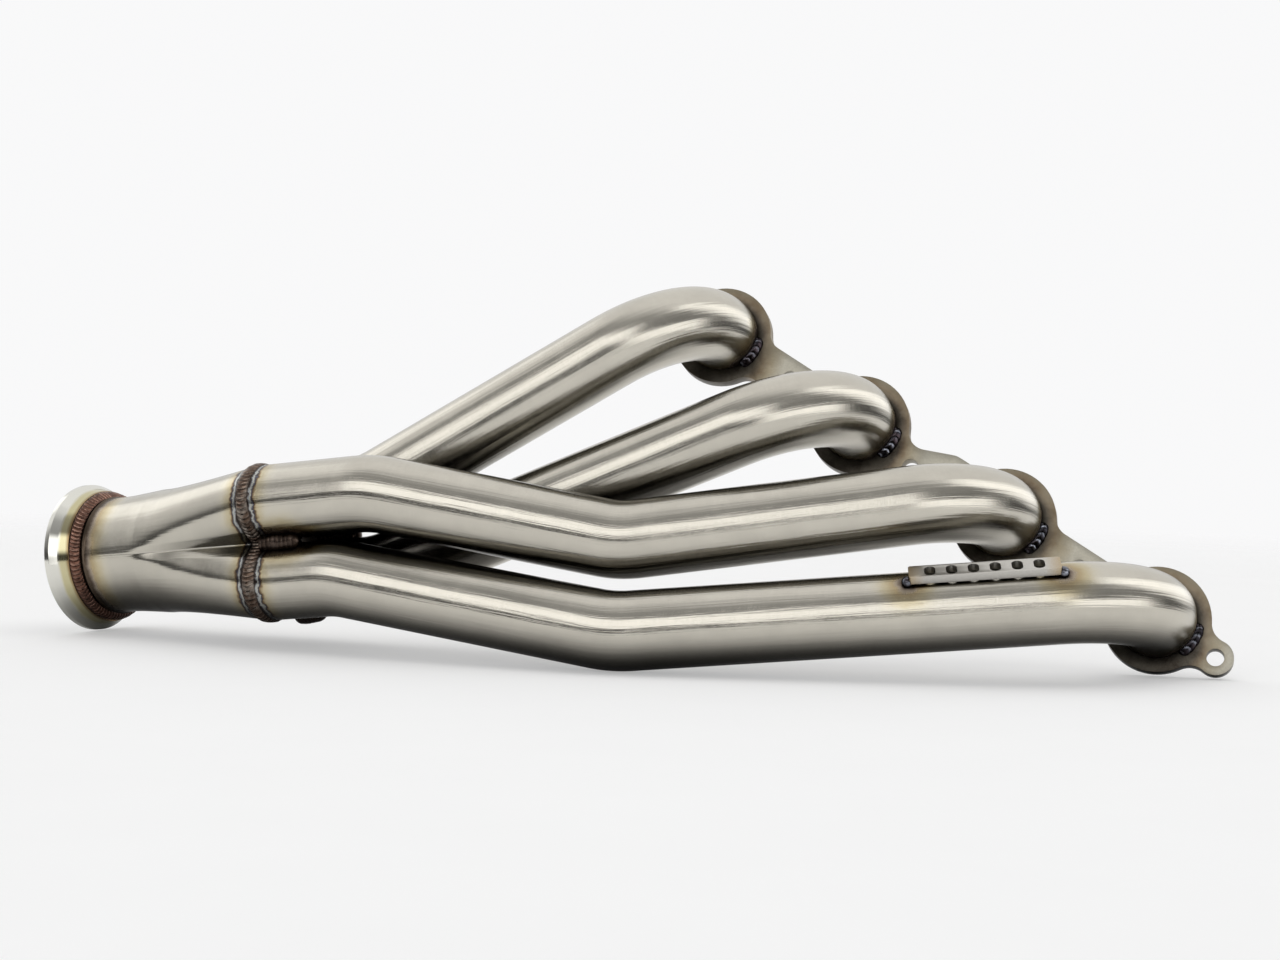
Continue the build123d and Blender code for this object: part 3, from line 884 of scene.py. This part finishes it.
# Painted shadow: the dark band reaches further below each port, where the tube bends down over the plate
under = m.math("DIVIDE", rise, m.math("MAXIMUM", radial, 0.001))
gap = m.math("SUBTRACT", gap, m.remap(under, -0.8, 0.2, 0.009, 0.0))
share = m.math("DIVIDE", m.math("ADD", gap, m.remap(cloud, 0.2, 0.8, -0.003, 0.003)), 0.020, clamp=True)
# Near-black crescents round each port: heat tint by the weld, deepened as a painted shadow and reflection of
# the tubes
tint_ramp = m.ramp(share, [
    (0.00, (0.035, 0.026, 0.020)),
    (0.10, (0.09, 0.062, 0.040)),
    (0.25, (0.21, 0.155, 0.095)),
    (0.48, (0.34, 0.29, 0.20)),
    (1.00, (0.48, 0.455, 0.38)),
])
colour = m.mix(m.remap(cloud, 0.3, 0.7, 0.0, 0.35), tint_ramp, (0.38, 0.355, 0.29))
colour = m.mix(m.remap(grit, 0.4, 0.8, 0.0, 0.30), colour, (0.22, 0.20, 0.165))
# Painted shade: darker where the tubes stand close over the plate
colour = m.with_painted_shade(colour, 0.04, [(0.0, 0.10), (0.35, 0.55), (0.60, 1.0)])
rough = m.remap(grit, 0.2, 0.8, 0.34, 0.46)
flange_steel = m.finish(colour, rough, m.bump(grit, 0.25, 0.00006))
bevelled_copy("flange_plate", "head_flange", flange_steel, 0.45)

m = Material("nameplate_steel")
where = m.add("TexCoord").outputs["Object"]
grit = m.noise(where, 1100.0, 3.0, 0.7)
cut = m.noise(m.scaled(where, (2600.0, 60.0, 60.0)), 1.0, 2.0, 0.6)
ends = m.math("ABSOLUTE", dot_from(m, where, PLATE_CENTRE, PLATE_LINE))
warm = m.remap(m.math("ADD", ends, m.remap(grit, 0.2, 0.8, -0.002, 0.002)), 0.034, 0.046, 0.0, 1.0)
colour = m.mix(warm, m.mix(m.remap(grit, 0.3, 0.8, 0.0, 0.4), (0.60, 0.58, 0.54), (0.42, 0.40, 0.36)),
               (0.46, 0.34, 0.18))
rough = m.remap(grit, 0.2, 0.8, 0.26, 0.38)
plate_steel = m.finish(colour, rough, m.bump(m.math("ADD", grit, cut), 0.25, 0.00005))
bevelled_copy("nameplate_strip", "nameplate", plate_steel, 0.35)

# Tack welds at the nameplate's ends
TACK_SIDES = 40
axis_out = unit(PLATE_NORMAL * 0.8 + PLATE_SIDE * 0.6)
x_axis = unit(np.cross(axis_out, PLATE_LINE))
y_axis = np.cross(axis_out, x_axis)
angles = np.linspace(0, 2 * math.pi, TACK_SIDES, endpoint=False)
marks = np.linspace(0, math.pi, 26)
for place, spot in TACKS.items():
    rings, phases = [], []
    for mark in marks:
        wave = 1 + 0.05 * np.cos(5 * mark) * np.sin(mark) + 0.03 * np.sin(2 * angles + 1) * np.sin(mark)
        reach = TACK_RADIUS * 0.97 * wave * np.sin(mark)
        x, y = reach * np.cos(angles), reach * np.sin(angles)
        rings.append(spot + axis_out * TACK_RADIUS * 0.97 * math.cos(mark)
                     + x[:, None] * x_axis + y[:, None] * y_axis)
        phases.append(np.full(TACK_SIDES, 0.55 + 0.4 * mark))
    verts = np.concatenate(rings)
    new_piece(f"plate_tack_{place}", verts, grid_faces(len(marks), TACK_SIDES), [f"nameplate_tack_{place}"],
              port_metal,
              {"ripple_phase": np.concatenate(phases), "lane": np.zeros(len(verts))})

# The merge spike is hidden inside and keeps its CAD shape
m = Material("spike_steel")
where = m.add("TexCoord").outputs["Object"]
grit = m.noise(where, 500.0, 3.0, 0.7)
colour = m.mix(m.remap(grit, 0.3, 0.7, 0.0, 1.0), (0.50, 0.46, 0.40), (0.34, 0.29, 0.23))
spike_steel = m.finish(colour, m.remap(grit, 0.2, 0.8, 0.30, 0.42), m.bump(grit, 0.2, 0.00005))
spike = nodes["merge_spike"]
spike.data.materials.clear()
spike.data.materials.append(spike_steel)


# ---------------------------------------------------------------- floor, light and camera
BACKDROP = 0.945


def floor_marks():
    """Grid lines, close together under the object and wide apart away from it."""
    near = np.arange(-560, 561, 8.0)
    far = np.array([620, 700, 800, 950, 1150, 1400, 1800, 2300, 3000.0])
    return np.concatenate([-far[::-1], near, far])


marks = floor_marks()
grid_x, grid_y = np.meshgrid(marks, marks, indexing="ij")
plan = np.stack([grid_x.ravel(), grid_y.ravel()], 1)
# Distance in mm, seen from above, from each floor point to the nearest tube or the collector
clearance = np.full(len(plan), 10 * FAR)
lines = [centre_line(tube_route(number), BEND_RADIUS)[0] for number in range(1, PORT_COUNT + 1)]
lines.append(np.array([collector_point(0, 0, s) for s in np.linspace(0, COLLECTOR_LENGTH, 20)]))
for line, radius in zip(lines, (TUBE_RADIUS,) * PORT_COUNT + (OUTLET_RADIUS + 6,)):
    for point in line[::3]:
        apart = np.hypot(plan[:, 0] - point[0], plan[:, 1] - point[1]) - radius
        clearance = np.minimum(clearance, apart)
floor_mesh = bpy.data.meshes.new("floor")
floor_mesh.from_pydata([(x * MM, y * MM, 0.0) for x, y in plan], [],
                       grid_faces(len(marks), len(marks), close_columns=False))
shade = floor_mesh.attributes.new("clearance", "FLOAT", "POINT")
shade.data.foreach_set("value", clearance.astype(np.float32))
floor = bpy.data.objects.new("floor", floor_mesh)
floor.location = (0, 0, -0.4 * MM)
bpy.context.scene.collection.objects.link(floor)
m = Material("pale_floor")
where = m.add("TexCoord").outputs["Object"]
paper = m.noise(where, 14.0, 3.0, 0.5)
pale = m.mix(m.remap(paper, 0.3, 0.7, 0.0, 1.0), (0.90, 0.90, 0.90), (0.91, 0.91, 0.91))
# Painted shadow: mirrored in the steel, the floor is darker under the tubes, and darkest in a second
# reflection
reach = m.math("DIVIDE", m.math("ADD", m.attribute("clearance"), 15.0), 315.0, clamp=True)
painted_shadow_under_tubes = m.grey(reach, [
    (0.000, 0.42), (0.048, 0.55), (0.095, 0.78), (0.184, 0.95), (0.365, 1.00)])
ray = m.add("LightPath").outputs
below = m.mix(ray["Is Glossy Ray"], pale, m.mix(1.0, pale, painted_shadow_under_tubes, "MULTIPLY"))
twice = m.math("GREATER_THAN", ray["Glossy Depth"], 1.5)
m.connect(m.shader, "Base Color", m.mix(twice, below, (0.20, 0.20, 0.20)))
m.connect(m.shader, "Roughness", 0.9)
m.connect(m.shader, "Specular IOR Level", 0.15)
# Seen directly, the floor glows a little, painted light which thins its shadows
glow = m.add("Emission", Color=(BACKDROP, BACKDROP, BACKDROP, 1.0), Strength=1.0)
lifted = m.add("MixShader", i0=m.math("MULTIPLY", ray["Is Camera Ray"], 0.38), i1=m.shader, i2=glow)
# Far from the object it fades into the backdrop
away = m.add("VectorMath", {"operation": "LENGTH"}, i0=where).outputs["Value"]
faded = m.add("MixShader", i0=m.remap(away, 0.95, 1.7, 0.0, 1.0), i1=lifted, i2=m.add("BsdfTransparent"))
m.connect(m.tree.nodes["Material Output"], "Surface", faded)
floor_mesh.materials.append(m.material)

# Studio surroundings: a pale room with four softboxes, laid out by direction from the object.
# Bearing 0 is straight in front, bearings grow to the right, and height is above the horizon,
# both in degrees.
TO_FRONT = unit((0.42647, -0.90382, 0.0))
TO_RIGHT = np.cross((0, 0, 1), TO_FRONT)
world = bpy.data.worlds.new("studio")
bpy.context.scene.world = world
world.use_nodes = True
tree = world.node_tree
background = tree.nodes["Background"]


def wnode(kind, values=(), **settings):
    node = tree.nodes.new("ShaderNode" + kind)
    for key, value in settings.items():
        setattr(node, key, value)
    for index, value in enumerate(values):
        if isinstance(value, bpy.types.NodeSocket):
            tree.links.new(value, node.inputs[index])
        else:
            node.inputs[index].default_value = value
    return node


def wmath(operation, *values):
    return wnode("Math", values, operation=operation).outputs[0]


def ease(value, low, high):
    """0 below low and 1 above high."""
    return wnode("MapRange", (value, low, high), interpolation_type="SMOOTHSTEP").outputs[0]


def between(value, low, high, edge):
    """1 from low to high and 0 outside, with soft edges."""
    leaves = wmath("SUBTRACT", 1.0, ease(value, high - edge, high + edge))
    return wmath("MULTIPLY", ease(value, low - edge, low + edge), leaves)


def levels(height, stops):
    """Brightness by height: stops of (degrees, brightness)."""
    share = wnode("MapRange", (height, -90, 90)).outputs[0]
    ramp = wnode("ValToRGB", (share,))
    marks = ramp.color_ramp.elements
    while len(marks) < len(stops):
        marks.new(0.5)
    for mark, (degrees, level) in zip(marks, stops):
        mark.position = (degrees + 90) / 180
        mark.color = (level, level, level, 1)
    return ramp.outputs[0]


sky = wnode("TexCoord").outputs["Generated"]
ahead = wnode("VectorMath", (sky, tuple(TO_FRONT)), operation="DOT_PRODUCT").outputs["Value"]
rightward = wnode("VectorMath", (sky, tuple(TO_RIGHT)), operation="DOT_PRODUCT").outputs["Value"]
bearing = wmath("MULTIPLY", wmath("ARCTAN2", rightward, ahead), 180 / math.pi)
height = wmath("MULTIPLY", wmath("ARCSINE", wnode("SeparateXYZ", (sky,)).outputs[2]), 180 / math.pi)
# The right-hand edge of the front leans over, further round the higher it is
slanted = wmath("ADD", bearing, wmath("MULTIPLY", wmath("SUBTRACT", height, 30.0), 1.3))
leftward = wmath("MULTIPLY", bearing, -1.0)
behind = wmath("MAXIMUM", ease(leftward, 70.0, 92.0), ease(slanted, 84.0, 106.0))
front_room = levels(height, [
    (-90, 0.90), (-14, 0.25), (-9, 0.08), (6, 0.08), (14, 0.20), (40, 0.32), (58, 0.42), (72, 0.78),
    (90, 0.92)])
back_room = levels(height, [
    (-90, 0.90), (-14, 0.25), (-8, 0.12), (1, 0.20), (9, 0.80), (30, 0.88), (60, 0.92), (90, 0.95)])
room = wnode("Mix", data_type="RGBA")
tree.links.new(behind, room.inputs[0])
tree.links.new(front_room, room.inputs[6])
tree.links.new(back_room, room.inputs[7])
lit = room.outputs[2]
SOFTBOXES = [
    # turn, from, to, height from, to, edge's softness, brightness added to the room
    (bearing, -62.0, 6.0, 10.0, 36.0, 5.0, 1.35),
    (bearing, 2.0, 75.0, -6.0, 15.0, 4.0, 1.45),
    (slanted, 82.0, 120.0, 0.0, 60.0, 6.0, 0.85),
    (bearing, -143.0, -110.0, 16.0, 44.0, 6.0, 0.75),
]
for turn, start, end, bottom, top, edge, level in SOFTBOXES:
    window = wmath("MULTIPLY", between(turn, start, end, edge), between(height, bottom, top, edge))
    lit = wnode("VectorMath", (lit, wmath("MULTIPLY", window, level)), operation="ADD").outputs[0]
ray = wnode("LightPath").outputs
backdrop = wnode("Mix", data_type="RGBA")
backdrop.inputs[7].default_value = (BACKDROP, BACKDROP, BACKDROP + 0.005, 1)
tree.links.new(ray["Is Camera Ray"], backdrop.inputs[0])
tree.links.new(lit, backdrop.inputs[6])
tree.links.new(backdrop.outputs[2], background.inputs[0])
# A second reflection between the tubes dims the room
twice = wmath("GREATER_THAN", ray["Glossy Depth"], 1.5)
tree.links.new(wmath("SUBTRACT", 1.0, wmath("MULTIPLY", twice, 0.62)), background.inputs[1])

light = bpy.data.lights.new("overhead", "AREA")
light.shape = "RECTANGLE"
light.size, light.size_y = 2.6, 2.2
light.energy = 6.9
overhead = bpy.data.objects.new("overhead", light)
overhead.location = (0, 0, 1.8)
overhead.visible_glossy = False
bpy.context.scene.collection.objects.link(overhead)

CAMERA_PLACE = (0.6009, -1.2401, 0.1588)
CAMERA_RIGHT = Vector((0.90395, 0.42725, 0.01844))
CAMERA_UP = Vector((-0.03167, 0.02389, 0.99921))
camera_data = bpy.data.cameras.new("camera")
camera_data.lens = 61.875
camera_data.sensor_width = 36.0
camera_data.clip_start = 0.05
camera = bpy.data.objects.new("camera", camera_data)
turn = Matrix((CAMERA_RIGHT, CAMERA_UP, CAMERA_RIGHT.cross(CAMERA_UP))).transposed()
camera.matrix_world = Matrix.Translation(CAMERA_PLACE) @ turn.to_4x4()
bpy.context.scene.collection.objects.link(camera)
bpy.context.scene.camera = camera
bpy.context.scene.view_settings.view_transform = "Standard"
